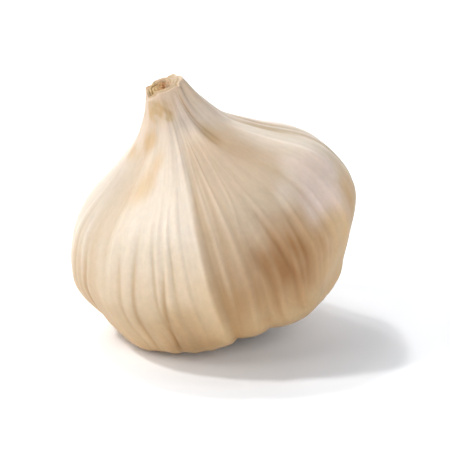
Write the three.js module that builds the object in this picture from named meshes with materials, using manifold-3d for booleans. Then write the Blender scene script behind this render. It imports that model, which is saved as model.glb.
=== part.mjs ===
// A dry garlic bulb lying as it comes to rest on a table: a papery skin drawn over seven cloves,
// a short cut neck with the dried inner leaves rolled inside it, and a root plate with its
// trimmed roots underneath. Units are millimetres, +Z is up and the table is the plane Z = 0.
//
// The bulb is worked out in its own upright frame, with Z along its stalk. A meridian of the skin
// is an angle, in degrees from the front (-Y) towards the right (+X). A height on the skin is s,
// which runs from 0 at the root plate's edge to 1 at the cut rim of the neck.
import * as THREE from "three";
import { mergeVertices } from "three/addons/utils/BufferGeometryUtils.js";
import Module from "manifold-3d";

// ---------------------------------------------------------------- driving dimensions

// How the bulb lies: its stalk leans by LEAN degrees, to the left and a little to the front.
const LEAN = 17.5;
const LEAN_SWING = -21; // degrees that the lean swings from -X, towards -Y
const ROOT_AT = new THREE.Vector3(5.44, 2.47, 2.8); // foot of the stalk's axis, above the table

// Mean half section of the skin: distance from the stalk's axis, and height above its foot.
const SECTION = new THREE.SplineCurve(
  [
    [8.2, 1.9], // edge of the root plate
    [14.3, 1.4], // foot of the cloves
    [22.6, 4.7],
    [25.6, 9.8],
    [28.4, 18.8], // fullest part
    [26.6, 26.7],
    [22.6, 33.4],
    [14.4, 39.7], // shoulder
    [8.5, 44.9],
    [5.2, 50.4], // neck
    [4.0, 55.2], // cut rim
  ].map(([r, z]) => new THREE.Vector2(r, z)),
);
const SWELL = { at: 104.5, by: 2.65 }; // the bulb is wider than it is deep: its wide sides' angle
const TWIST = 4.6; // degrees that the skin turns round the bulb, from root to rim

// Where one clove meets the next, the skin dips. Each crease stands at an angle low on the bulb
// and drifts by some degrees for a full height; it has a depth, a width in degrees on its left
// and on its right, and the two heights of the skin that it runs between.
const CREASES = [
  { at: -70, drift: 24, depth: 1.4, left: 16, right: 22, from: -1, to: 0.85 },
  { at: -50, drift: 0, depth: 0.6, left: 14, right: 14, from: 0.5, to: 0.9 },
  { at: 3, drift: 0, depth: 1.1, left: 5, right: 17, from: -1, to: 0.96 },
  { at: 23, drift: 0, depth: 0.5, left: 8, right: 12, from: -1, to: 0.5 },
  { at: 81, drift: -60, depth: 1.1, left: 14, right: 14, from: 0.66, to: 0.98 },
  { at: 84, drift: 0, depth: 1.6, left: 13, right: 24, from: -1, to: 0.5 },
  { at: 101, drift: 0, depth: 1.0, left: 14, right: 18, from: 0.5, to: 0.84 },
  { at: 135, drift: 0, depth: 1.5, left: 24, right: 22, from: -1, to: 0.96 },
  { at: 184, drift: 0, depth: 1.8, left: 22, right: 24, from: -1, to: 0.96 },
  { at: 234, drift: 0, depth: 1.5, left: 24, right: 26, from: -1, to: 0.96 },
];
const CREASE_BASE = 0.3; // the height at which a crease stands at its own angle

// Where a clove is fullest, the skin stands out: at an angle and a height, by so much, over half
// a width in degrees and half a height.
const BULGES = [
  { at: 44, s: 0.18, by: 1.1, halfWidth: 18, halfHeight: 0.2 },
  { at: 84, s: 0.51, by: 0.7, halfWidth: 22, halfHeight: 0.25 },
  { at: 108, s: 0.45, by: 1.0, halfWidth: 24, halfHeight: 0.25 },
  { at: 62, s: 0.19, by: 0.35, halfWidth: 9, halfHeight: 0.08 },
  { at: 72, s: 0.3, by: -0.4, halfWidth: 9, halfHeight: 0.08 },
  { at: 7, s: 0.25, by: 0.4, halfWidth: 10, halfHeight: 0.14 },
  { at: 98, s: 0.88, by: 0.55, halfWidth: 42, halfHeight: 0.11 }, // thick side of the neck
];

// The sharp ridge at the front, where one clove's flank meets the next: it runs out to nothing
// over some degrees on either side, and drifts to the left on its way up to the neck.
const RIDGE = { at: -2.3, height: 0.55, left: 9, right: 3.2, drift: -5.2 };

// Raised veins of the skin. The ones that stand out in front are placed, the others follow a rule.
const FRONT_VEINS = [-42.5, -35, -25.5, -20.5, -11, -2.3, 7, 15.5, 23.5, 36.5, 50.5, 61, 71, 81];
const VEIN_PITCH = 8.8; // degrees from vein to vein round the rest of the bulb
const VEIN_STRAY = 2.2; // degrees that such a vein may stand off its place
const VEIN_HEIGHT = 0.34;
const VEIN_HALF_WIDTH = 1.5; // degrees

// The cut neck: its opening lies left of the middle, the thick side of its wall stands up into
// an ear, and the edge of the wall is rounded.
const MOUTH = { right: -0.9, back: 0.1, radius: 2.4, depth: 2.8, taper: 0.25 };
const EAR = { at: 112, spread: 75, height: 0.5 };
const EDGE = { share: 0.35, rise: 0.25 };
const PLEATS = { height: 0.2, from: 0.72 };

// The dried inner leaves: a short roll with a pit in its top, clear of the mouth all round.
const CORE = { radius: 1.75, gap: 0.4, height: 2.3, fall: 0.25 };
const PIT = { radius: 0.7, depth: 1.3, right: 0.6, back: 0.4 };

// The root plate sits in a socket under the skin, clear of it all round.
const SOCKET_DEPTH = 2.3;
const PLATE = { radius: 7.75, top: 3.75, rim: 1.9, middle: 1.0, sides: 36 };
const ROOTS = { count: 84, thick: 0.55, tip: 0.32, shortest: 2.4, longest: 4.4, splay: 0.42, sunk: 0.9 };

const TABLE_GAP = 0.02; // roots are trimmed this far above the table, and only the skin meets it

// ---------------------------------------------------------------- small helpers

const radians = THREE.MathUtils.degToRad;
const smooth = (from, to, x) => THREE.MathUtils.smoothstep(x, from, to);

// A seeded draw from 0 to 1: the same k always gives the same value.
function draw(k) {
  const x = Math.sin(k * 12.9898 + 4.1414) * 43758.5453;
  return x - Math.floor(x);
}

// The shortest turn from angle b to angle a, in degrees from -180 to 180.
function turn(a, b) {
  return THREE.MathUtils.euclideanModulo(a - b + 180, 360) - 180;
}

// ---------------------------------------------------------------- how the bulb lies

const leanDirection = new THREE.Vector3(
  -Math.cos(radians(LEAN_SWING)),
  Math.sin(radians(LEAN_SWING)),
  0,
);
const leanAxis = new THREE.Vector3(0, 0, 1).cross(leanDirection);
const leaning = new THREE.Group();
leaning.quaternion.setFromAxisAngle(leanAxis, radians(LEAN));
leaning.position.copy(ROOT_AT);
leaning.updateMatrixWorld(true);
const toTable = leaning.matrixWorld;
const toBulb = toTable.clone().invert();

// Lifts a point of the upright bulb until, once the bulb lies down, it is not below the height.
function keepAbove(point, height) {
  point.applyMatrix4(toTable);
  point.z = Math.max(point.z, height);
  return point.applyMatrix4(toBulb);
}

// ---------------------------------------------------------------- the skin's surface

const veins = FRONT_VEINS.map((at, k) => ({ at, height: 0.75 + 0.25 * draw(k) }));
const lastInFront = FRONT_VEINS[FRONT_VEINS.length - 1];
const behind = 360 - (lastInFront - FRONT_VEINS[0]);
const behindCount = Math.round(behind / VEIN_PITCH) - 1;
for (let k = 1; k <= behindCount; k++) {
  const stray = VEIN_STRAY * (2 * draw(k + 20) - 1);
  const at = lastInFront + (behind * k) / (behindCount + 1) + stray;
  veins.push({ at, height: 0.35 + 0.65 * draw(k + 60) });
}

// How deep the creases are at a height of the skin, from 0 to 1: deepest low on the bulb.
function creaseStrength(s) {
  return (0.45 + 0.6 * smooth(0, 0.1, s)) * (1 - smooth(0.2, 1, s));
}

function creaseDepth(crease, angle, s) {
  const off = turn(angle, crease.at + crease.drift * (s - CREASE_BASE));
  const x = off / (off < 0 ? crease.left : crease.right);
  const rounding = 0.12;
  const shape = Math.max(0, 1 - Math.hypot(x, rounding) + rounding / 2) ** 2;
  const fade = 0.12;
  const begun = smooth(crease.from - fade, crease.from + fade, s);
  const ended = smooth(crease.to - fade, crease.to + fade, s);
  const strength = crease.from > 0 ? 0.8 : creaseStrength(s);
  return crease.depth * shape * begun * (1 - ended) * strength;
}

function bulgeHeight(bulge, angle, s) {
  const x = turn(angle, bulge.at) / bulge.halfWidth;
  const y = (s - bulge.s) / bulge.halfHeight;
  return bulge.by * Math.max(0, 1 - x * x - y * y) ** 1.5;
}

function ridgeHeight(angle, s) {
  const off = turn(angle, RIDGE.at + RIDGE.drift * smooth(0.7, 0.8, s));
  const fall = Math.exp(-Math.abs(off) / (off < 0 ? RIDGE.left : RIDGE.right));
  return RIDGE.height * fall * smooth(0.16, 0.34, s) * (1 - smooth(0.8, 0.92, s));
}

// Veins are highest below the fullest part and fade towards the rim and the root plate.
function veinStrength(s) {
  return smooth(0, 0.3, s) * (1 - 0.65 * smooth(0.3, 0.65, s)) * (1 - smooth(0.85, 0.98, s));
}

function veinHeight(angle, s) {
  let height = 0;
  for (const vein of veins) {
    const x = Math.abs(turn(angle, vein.at)) / VEIN_HALF_WIDTH;
    if (x < 1) height += vein.height * (1 - x);
  }
  return VEIN_HEIGHT * height * veinStrength(s);
}

// Pleats gather the skin into the neck.
function pleatHeight(angle, s) {
  const wave = Math.cos(radians(7 * angle + 60)) + 0.6 * Math.cos(radians(11 * angle + 200));
  return PLEATS.height * wave * smooth(PLEATS.from, 0.92, s);
}

// The point of the skin at an angle and a height, in the upright bulb's frame.
function skinPoint(angle, s) {
  const mean = SECTION.getPoint(s);
  const along = SECTION.getTangent(s);
  let lift = veinHeight(angle, s) + pleatHeight(angle, s) + ridgeHeight(angle, s);
  for (const crease of CREASES) lift -= creaseDepth(crease, angle, s);
  for (const bulge of BULGES) lift += bulgeHeight(bulge, angle, s);
  const around = radians(angle + TWIST * (s - 0.5));
  const swell = SWELL.by * Math.cos(2 * (around - radians(SWELL.at))) * Math.sin(Math.PI * s);
  const radius = mean.x + along.y * lift + swell;
  const ear = EAR.height * Math.max(0, Math.cos((radians(turn(angle, EAR.at)) * 90) / EAR.spread));
  const inEar = Math.abs(turn(angle, EAR.at)) < EAR.spread ? ear : 0;
  const height = mean.y - along.x * lift + inEar * smooth(0.9, 1, s);
  return new THREE.Vector3(radius * Math.sin(around), -radius * Math.cos(around), height);
}

// ---------------------------------------------------------------- closed surfaces from rings

// A closed geometry from rings of points, each counter-clockwise from above, lowest ring first:
// the first and the last ring are closed to a point each.
function closedRings(rings, firstPole, lastPole) {
  const columns = rings[0].length;
  const positions = [firstPole, ...rings.flat(), lastPole].flatMap((p) => p.toArray());
  const lastIndex = rings.length * columns + 1;
  const at = (ring, column) => 1 + ring * columns + (column % columns);
  const faces = [];
  for (let c = 0; c < columns; c++) {
    faces.push(0, at(0, c + 1), at(0, c));
    for (let r = 0; r + 1 < rings.length; r++) {
      faces.push(at(r, c), at(r, c + 1), at(r + 1, c + 1));
      faces.push(at(r, c), at(r + 1, c + 1), at(r + 1, c));
    }
    faces.push(at(rings.length - 1, c), at(rings.length - 1, c + 1), lastIndex);
  }
  const geometry = new THREE.BufferGeometry();
  geometry.setAttribute("position", new THREE.Float32BufferAttribute(positions, 3));
  geometry.setIndex(faces);
  return geometry;
}

function circle(centre, radius, height, angles) {
  return angles.map((angle) => {
    const a = radians(angle);
    return new THREE.Vector3(centre.x + radius * Math.sin(a), centre.y - radius * Math.cos(a), height(angle));
  });
}

function evenAngles(count) {
  return Array.from({ length: count }, (_, k) => (360 * k) / count);
}

// ---------------------------------------------------------------- the pieces

// Meridians run along each vein's crest and both its feet, and along each crease.
function skinAngles() {
  const closest = 0.9;
  const wanted = veins.flatMap(({ at }) => [at - VEIN_HALF_WIDTH, at, at + VEIN_HALF_WIDTH]);
  wanted.push(...CREASES.map(({ at }) => at));
  const sorted = wanted.map((a) => THREE.MathUtils.euclideanModulo(a, 360)).sort((a, b) => a - b);
  return sorted.filter((a, k) => k === 0 || a - sorted[k - 1] > closest);
}

function bulbGeometry() {
  const angles = skinAngles();
  const heights = [];
  for (let s = 0; s < 0.999; s += s < 0.1 ? 0.05 : 0.033) heights.push(s);
  heights.push(1);
  const skin = heights.map((s) => angles.map((angle) => keepAbove(skinPoint(angle, s), 0)));

  const edge = SECTION.getPoint(0);
  const socketTop = edge.y + SOCKET_DEPTH;
  const socket = circle(new THREE.Vector2(0, 0), edge.x - 0.05, () => socketTop, angles);

  const mouthCentre = new THREE.Vector2(MOUTH.right, MOUTH.back);
  const rim = skin[skin.length - 1];
  const rimHeight = (angle) => rim[angles.indexOf(angle)].z;
  const mouthFloor = SECTION.getPoint(1).y - MOUTH.depth;
  const mouthEdge = circle(mouthCentre, MOUTH.radius, rimHeight, angles);
  const mouthFoot = circle(mouthCentre, MOUTH.radius - MOUTH.taper, () => mouthFloor, angles);
  // The wall's edge rises between the rim and the mouth, most where the wall is thick.
  const crest = (share) =>
    rim.map((outer, k) => {
      const thickness = Math.min(2, outer.distanceTo(mouthEdge[k]));
      const point = outer.clone().lerp(mouthEdge[k], share);
      return point.setZ(point.z + EDGE.rise * thickness);
    });

  const rings = [socket, ...skin, crest(EDGE.share), crest(1 - EDGE.share), mouthEdge, mouthFoot];
  const socketMiddle = new THREE.Vector3(0, 0, socketTop);
  const mouthMiddle = new THREE.Vector3(mouthCentre.x, mouthCentre.y, mouthFloor);
  return closedRings(rings, socketMiddle, mouthMiddle);
}

function coreGeometry() {
  const angles = evenAngles(24);
  const foot = SECTION.getPoint(1).y - MOUTH.depth + CORE.gap;
  const middle = new THREE.Vector2(MOUTH.right, MOUTH.back);
  const pitMiddle = new THREE.Vector2(MOUTH.right + PIT.right, MOUTH.back + PIT.back);
  // The top falls a little towards the right, and its leaf edges wave.
  const top = (angle) => {
    const wave = 0.15 * Math.cos(radians(5 * angle + 40));
    return foot + CORE.height - CORE.fall * Math.sin(radians(angle)) + wave;
  };
  const pitFloor = foot + CORE.height - PIT.depth;
  const bevel = 0.3;
  const rings = [
    circle(middle, CORE.radius, () => foot, angles),
    circle(middle, CORE.radius, (angle) => top(angle) - bevel, angles),
    circle(middle, CORE.radius - bevel, top, angles),
    circle(pitMiddle, PIT.radius, (angle) => top(angle) - 0.1, angles),
    circle(pitMiddle, PIT.radius * 0.6, () => pitFloor, angles),
  ];
  return closedRings(
    rings,
    new THREE.Vector3(middle.x, middle.y, foot),
    new THREE.Vector3(pitMiddle.x, pitMiddle.y, pitFloor),
  );
}

// One trimmed root: a tapered stick from the plate's underside, splayed outwards.
function rootGeometry(k) {
  const sides = 5;
  const goldenTurn = 137.508;
  const share = (k + 2.5) / (ROOTS.count + 2.5);
  const reach = (PLATE.radius - 0.7) * Math.sqrt(share);
  const angle = radians(goldenTurn * k);
  const out = new THREE.Vector3(Math.sin(angle), -Math.cos(angle), 0);
  const plateUnder = THREE.MathUtils.lerp(PLATE.middle, PLATE.rim, share);
  const start = out.clone().multiplyScalar(reach).setZ(plateUnder + ROOTS.sunk);
  const splay = ROOTS.splay * share + 0.15 * (draw(k + 200) - 0.5);
  const heading = out.clone().multiplyScalar(splay).setZ(-1).normalize();
  const length = ROOTS.sunk + THREE.MathUtils.lerp(ROOTS.shortest, ROOTS.longest, draw(k + 300));
  const end = start.clone().addScaledVector(heading, length);

  const across = new THREE.Vector3(0, 1, 0).cross(heading).normalize();
  const beside = heading.clone().cross(across);
  const ring = (centre, radius) =>
    evenAngles(sides).map((a) =>
      keepAbove(
        centre
          .clone()
          .addScaledVector(across, radius * Math.cos(radians(a)))
          .addScaledVector(beside, radius * Math.sin(radians(a))),
        TABLE_GAP,
      ),
    );
  const endPole = keepAbove(end.clone(), TABLE_GAP);
  return closedRings([ring(end, ROOTS.tip).reverse(), ring(start, ROOTS.thick).reverse()], endPole, start);
}

function plateGeometry() {
  const angles = evenAngles(PLATE.sides);
  const centre = new THREE.Vector2(0, 0);
  const rings = [
    circle(centre, PLATE.radius * 0.5, () => THREE.MathUtils.lerp(PLATE.middle, PLATE.rim, 0.3), angles),
    circle(centre, PLATE.radius - 0.4, () => PLATE.rim, angles),
    circle(centre, PLATE.radius, () => PLATE.rim + 0.5, angles),
    circle(centre, PLATE.radius, () => PLATE.top, angles),
  ];
  return closedRings(rings, new THREE.Vector3(0, 0, PLATE.middle), new THREE.Vector3(0, 0, PLATE.top));
}

// ---------------------------------------------------------------- joining with manifold-3d

const wasm = await Module();
wasm.setup();

function solidOf(geometry) {
  const merged = mergeVertices(geometry, 1e-5);
  return new wasm.Manifold(
    new wasm.Mesh({
      numProp: 3,
      vertProperties: merged.attributes.position.array,
      triVerts: new Uint32Array(merged.index.array),
    }),
  );
}

function geometryOf(solid) {
  const mesh = solid.getMesh();
  const geometry = new THREE.BufferGeometry();
  geometry.setAttribute("position", new THREE.BufferAttribute(mesh.vertProperties, 3));
  geometry.setIndex(new THREE.BufferAttribute(mesh.triVerts, 1));
  return geometry;
}

function rootPlateGeometry() {
  let solid = solidOf(plateGeometry());
  for (let k = 0; k < ROOTS.count; k++) solid = solid.add(solidOf(rootGeometry(k)));
  return geometryOf(solid);
}

// ---------------------------------------------------------------- the garlic bulb

function piece(name, geometry, color, roughness) {
  geometry.computeVertexNormals();
  const material = new THREE.MeshStandardMaterial({ color, roughness, metalness: 0 });
  const mesh = new THREE.Mesh(geometry, material);
  mesh.name = name;
  return mesh;
}

leaning.add(
  piece("bulb", bulbGeometry(), 0xe3d2bb, 0.6),
  piece("neck_core", coreGeometry(), 0xa9713c, 0.8),
  piece("root_plate", rootPlateGeometry(), 0xa38b66, 0.9),
);

const garlicBulb = new THREE.Group();
garlicBulb.add(leaning);

export default garlicBulb;
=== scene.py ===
"""A dry garlic bulb, lying tilted on a white table.

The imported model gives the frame: the bulb's solid, the roll of dried leaves in its cut neck and
its root plate. This script puts finer pieces in their places, on the same named dimensions, and
gives each its material. Sizes are in millimetres up to the point where a mesh is written, and
Blender's own units are metres.

A meridian of the skin is an angle, in degrees from the front (-Y) towards the right (+X). A
height on the skin runs from 0 at the root plate's edge to 1 at the cut rim of the neck.
"""

import math

import bpy
import numpy as np
from mathutils import Matrix, Vector


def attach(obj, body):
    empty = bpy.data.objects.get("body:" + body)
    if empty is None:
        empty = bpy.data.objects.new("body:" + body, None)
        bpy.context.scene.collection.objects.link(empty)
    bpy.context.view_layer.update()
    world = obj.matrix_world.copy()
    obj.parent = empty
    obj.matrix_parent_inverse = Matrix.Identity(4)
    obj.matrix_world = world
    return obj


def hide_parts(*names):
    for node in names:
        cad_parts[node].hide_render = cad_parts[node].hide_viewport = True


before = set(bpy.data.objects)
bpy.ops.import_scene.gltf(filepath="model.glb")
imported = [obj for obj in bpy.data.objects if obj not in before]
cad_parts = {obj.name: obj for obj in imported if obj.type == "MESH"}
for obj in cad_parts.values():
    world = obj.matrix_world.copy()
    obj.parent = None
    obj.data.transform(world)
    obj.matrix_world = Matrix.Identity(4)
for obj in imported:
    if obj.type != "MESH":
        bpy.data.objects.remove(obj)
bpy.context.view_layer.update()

MM = 0.001

# ------------------------------------------------------------------ driving dimensions

# How the bulb lies, and the foot of its stalk's axis above the table.
LEAN = 17.5
LEAN_SWING = -21.0
ROOT_AT = Vector((5.44, 2.47, 2.8))

# Mean half section of the skin: distance from the stalk's axis, height above its foot.
SECTION = np.array(
    [
        (8.2, 1.9),
        (14.3, 1.4),
        (22.6, 4.7),
        (25.6, 9.8),
        (28.4, 18.8),
        (26.6, 26.7),
        (22.6, 33.4),
        (14.4, 39.7),
        (8.5, 44.9),
        (5.2, 50.4),
        (4.0, 55.2),
    ]
)
SWELL_AT, SWELL_BY = 104.5, 2.65
TWIST = 4.6

# Creases between the cloves: angle, drift for a full height, depth, width in degrees on the left
# and on the right, and the two heights that the crease runs between.
CREASES = [
    (-70, 24, 1.4, 16, 22, -1, 0.85),
    (-50, 0, 0.6, 14, 14, 0.5, 0.9),
    (3, 0, 1.1, 5, 17, -1, 0.96),
    (23, 0, 0.5, 8, 12, -1, 0.5),
    (77, -60, 0.6, 13, 13, 0.66, 0.98),
    (85, -60, 0.6, 13, 15, 0.66, 0.98),
    (84, 0, 1.6, 13, 24, -1, 0.5),
    (101, 0, 1.0, 14, 18, 0.5, 0.84),
    (135, 0, 1.5, 24, 22, -1, 0.96),
    (184, 0, 1.8, 22, 24, -1, 0.96),
    (234, 0, 1.5, 24, 26, -1, 0.96),
]
CREASE_BASE = 0.3  # the height at which a crease stands at its own angle
CREASE_FADE, FINE_FADE = 0.12, 0.05  # over these heights a crease begins and ends

# Where a clove is fullest: angle, height, how far it stands out (less than nothing for a dent),
# half width and half height.
BULGES = [
    (44, 0.18, 1.1, 18, 0.2),
    (84, 0.51, 0.7, 22, 0.25),
    (108, 0.45, 1.0, 24, 0.25),
    (62, 0.19, 0.35, 9, 0.08),
    (72, 0.30, -0.4, 9, 0.08),
    (7, 0.25, 0.4, 10, 0.14),
    (98, 0.88, 0.55, 42, 0.11),
    (-55, 0.39, -0.6, 16, 0.07),
    (64, 0.27, -0.45, 14, 0.06),
]

# Narrow folds of the outermost leaf alone, listed the same way.
FINE_CREASES = [
    (82, -60, 0.5, 4, 3, 0.865, 0.945),
    (11, 4, 0.08, 2.5, 4, 0.3, 0.7),
    (-30, 2, 0.12, 3, 2, 0.2, 0.5),
    (99, 30, 0.40, 5, 4, 0.58, 0.78),
    (-17.5, 2, 0.10, 1.6, 1.6, 0.35, 0.52),
]
RIDGE_AT, RIDGE_HEIGHT = -2.0, 0.5

# Ribs of the outer leaf that show in front, and the furrows between them: angle at half height,
# drift for a full height, height (less than nothing for a furrow), half width in degrees on the
# left and on the right, and the two heights it runs between.
RIBS = [
    (-53.0, -15, 0.10, 2.6, 2.6, 0.12, 0.62),
    (-46.5, 6, 0.08, 1.8, 1.8, 0.1, 0.72),
    (-41.3, 7, -0.18, 1.1, 1.1, 0.22, 0.54),
    (-37.6, 6, 0.16, 2.2, 2.2, 0.06, 0.62),
    (-33.9, 19, -0.30, 1.1, 1.4, 0.03, 0.57),
    (-27.9, 18, 0.30, 2.4, 2.0, 0.03, 0.60),
    (-24.7, 7, -0.22, 0.8, 0.8, 0.22, 0.56),
    (-22.9, 7, 0.13, 0.9, 0.9, 0.30, 0.64),
    (-19.9, 28, -0.30, 1.0, 1.1, 0.03, 0.50),
    (-18.0, 14, 0.28, 1.3, 1.6, 0.03, 0.66),
    (-16.2, 5, -0.20, 0.8, 0.8, 0.38, 0.64),
    (-11.4, 2, 0.22, 2.2, 1.8, 0.08, 0.66),
    (-9.2, -1, -0.17, 1.0, 1.2, 0.34, 0.64),
    (1.3, 4, -0.07, 1.5, 2.2, 0.34, 0.70),
    (-2.4, 0, 0.42, 2.6, 1.8, 0.66, 0.87),
    (7.0, 3, 0.28, 1.3, 1.1, 0.38, 0.74),
    (-1.4, 40, 0.18, 0.9, 0.9, 0.72, 0.88),
    (10.2, 9, -0.13, 1.2, 1.4, 0.32, 0.62),
    (15.3, 0, 0.24, 1.1, 1.2, 0.30, 0.82),
    (18.2, 0, -0.15, 1.3, 1.5, 0.32, 0.62),
    (19.3, 32, 0.15, 1.0, 1.0, 0.58, 0.80),
    (20.8, -22, 0.16, 1.3, 1.1, 0.26, 0.46),
    (23.6, -24, -0.14, 1.2, 1.3, 0.22, 0.44),
    (28.5, -14, 0.12, 1.6, 1.6, 0.20, 0.60),
    (34.6, -26, -0.14, 1.3, 1.1, 0.26, 0.58),
    (37.1, -24, 0.18, 1.2, 1.5, 0.28, 0.60),
    (45.3, -8, -0.09, 1.4, 1.4, 0.36, 0.56),
    (49.4, -12, 0.16, 1.4, 1.4, 0.28, 0.58),
    (53.8, -11, -0.12, 1.2, 1.2, 0.36, 0.50),
    (59.3, -11, -0.12, 1.6, 1.5, 0.40, 0.62),
    (63.6, -8, 0.16, 1.6, 1.6, 0.36, 0.66),
    (72.0, -10, 0.12, 2.0, 2.0, 0.30, 0.64),
    (84.4, -23, 0.34, 4.0, 2.2, 0.50, 0.82),
    (88.0, -6, 0.08, 1.4, 1.4, 0.36, 0.74),
]

# Round the back, ribs follow a rule.
RIB_PITCH = 8.3
RIB_STRAY = 2.6
RIB_HEIGHT = 0.26

# Finer threads run between them all round.
THREADS = 150
THREAD_HEIGHT = 0.038

# Where the leaf is paler (more than nothing) or duller than its height alone gives: angle, height,
# half width, half height and by how much. Part of it is the leaf's own tone and part is painted
# light and shade, as marked.
TONE_AND_PAINTED_LIGHT = [
    (-50, 0.93, 15, 0.05, 0.15),  # neck, on the left
    (80, 0.95, 20, 0.05, 0.15),  # neck, on the right
    (18, 0.86, 20, 0.03, -0.15),  # foot of the neck
    # Shoulder, in front: painted highlight.
    (30, 0.78, 30, 0.05, 0.15),  # shoulder, in front
    # Shoulders on the left and right: their own duller tone and painted shade.
    (-75, 0.70, 25, 0.12, -0.20),  # shoulder, on the left
    (100, 0.68, 15, 0.10, -0.15),  # shoulder, on the right
    # Crest of the front ridge: paler paper and painted light.
    (0, 0.58, 4, 0.15, 0.10),  # crest of the front ridge
    # Fullest part of the right clove: paler leaf and painted light.
    (85, 0.46, 25, 0.08, 0.30),  # fullest part of the right clove
    (40, 0.48, 14, 0.05, 0.10),  # fullest part of the clove beside it
    (-35, 0.37, 18, 0.07, -0.10),  # below the left cloves' fullest part
    # Feet on the left and right: their own duller tone and painted shade.
    (-18, 0.26, 20, 0.05, -0.15),  # foot, on the left
    (35, 0.25, 22, 0.05, -0.15),  # foot, on the right
]

MOUTH_RIGHT, MOUTH_BACK, MOUTH_RADIUS, MOUTH_DEPTH, MOUTH_TAPER = -0.9, 0.1, 2.4, 2.8, 0.25
EAR_AT, EAR_SPREAD, EAR_HEIGHT = 112, 75, 0.4
EDGE_RISE = 0.2
PLEAT_HEIGHT, PLEATS_FROM = 0.2, 0.72
SOCKET_DEPTH = 2.3

# ------------------------------------------------------------------ small helpers


def draw(k):
    """A seeded draw from 0 to 1: the same k always gives the same value."""
    x = np.sin(np.asarray(k) * 12.9898 + 4.1414) * 43758.5453
    return x - np.floor(x)


def smooth(start, end, x):
    t = np.clip((x - start) / (end - start), 0, 1)
    return t * t * (3 - 2 * t)


def turn(a, b):
    """The shortest turn from angle b to angle a, from -180 to 180 degrees."""
    return (a - b + 180) % 360 - 180


def waves(angle, height, seed, count, around, along):
    """Smooth unevenness from about -1 to 1 that closes round the bulb: a sum of seeded waves."""
    total = np.zeros(np.broadcast(angle, height).shape)
    for k in range(count):
        base = seed + 10 * k
        turns = 1 + math.floor(float(draw(base)) * around)
        rise = (2 * float(draw(base + 1)) - 1) * along
        phase = 2 * math.pi * float(draw(base + 2))
        total += np.cos(turns * np.radians(angle) + 2 * math.pi * rise * height + phase)
    return total / math.sqrt(count)


def section_at(height):
    """Point of the mean half section at a height: a smooth curve through SECTION's points."""
    last = len(SECTION) - 1
    x = np.clip(height * last, 0, last - 1e-9)
    i = x.astype(int)
    f = (x - i)[..., None]
    before, start, end, after = (
        SECTION[np.clip(i + shift, 0, last)] for shift in (-1, 0, 1, 2)
    )
    bend = 2 * before - 5 * start + 4 * end - after
    turnover = 3 * start - before - 3 * end + after
    return 0.5 * (2 * start + (end - before) * f + bend * f**2 + turnover * f**3)


# ------------------------------------------------------------------ the skin's relief


def crease_depth(crease, angle, height, fade=CREASE_FADE):
    at, drift, depth, left, right, begins, ends = crease
    off = turn(angle, at + drift * (height - CREASE_BASE))
    x = np.where(off < 0, off / left, off / right)
    rounding = 0.12
    shape = np.clip(1 - np.hypot(x, rounding) + rounding / 2, 0, None) ** 2
    window = smooth(begins - fade, begins + fade, height)
    window = window * (1 - smooth(ends - fade, ends + fade, height))
    strength = (0.45 + 0.6 * smooth(0, 0.1, height)) * (1 - smooth(0.2, 1, height))
    return depth * shape * window * (0.8 if begins > 0 else strength)


def ribs():
    """All ribs and furrows, in the form of RIBS: the ones placed in front, then the rest."""
    listed = list(RIBS)
    first, last = RIBS[0][0], RIBS[-1][0]
    behind = 360 - (last - first)
    count = round(behind / RIB_PITCH) - 1
    for k in range(1, count + 1):
        at = last + behind * k / (count + 1) + RIB_STRAY * (2 * float(draw(k + 20)) - 1)
        fans_out = 26 * (float(draw(k + 30)) - 0.5)
        tall = RIB_HEIGHT * (0.3 + 0.7 * float(draw(k + 60)))
        wide = 1.2 + 1.4 * float(draw(k + 70))
        ends = 0.5 + 0.3 * float(draw(k + 80))
        wide_right = wide * (0.7 + 0.5 * float(draw(k + 90)))
        listed.append((at, fans_out, tall, wide, wide_right, 0.05, ends))
        beside = at + (wide + 1.6) * (1 if draw(k + 100) > 0.4 else -1)
        listed.append((beside, fans_out, -0.7 * tall, 1.3, 1.3, 0.08, ends - 0.08))
    return listed


def main_ridge(angle, height):
    """The sharp ridge at the front, where one clove's flank meets the next."""
    off = turn(angle, RIDGE_AT)
    broader = 1 + 0.8 * smooth(0.5, 0.7, height)
    sides = np.where(off < 0, off / 9.0, off / (4.2 * broader))
    lasts = smooth(0.16, 0.34, height) * (1 - 0.85 * smooth(0.42, 0.64, height))
    return RIDGE_HEIGHT * np.exp(-np.abs(sides)) * lasts * (1 - smooth(0.8, 0.92, height))


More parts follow.
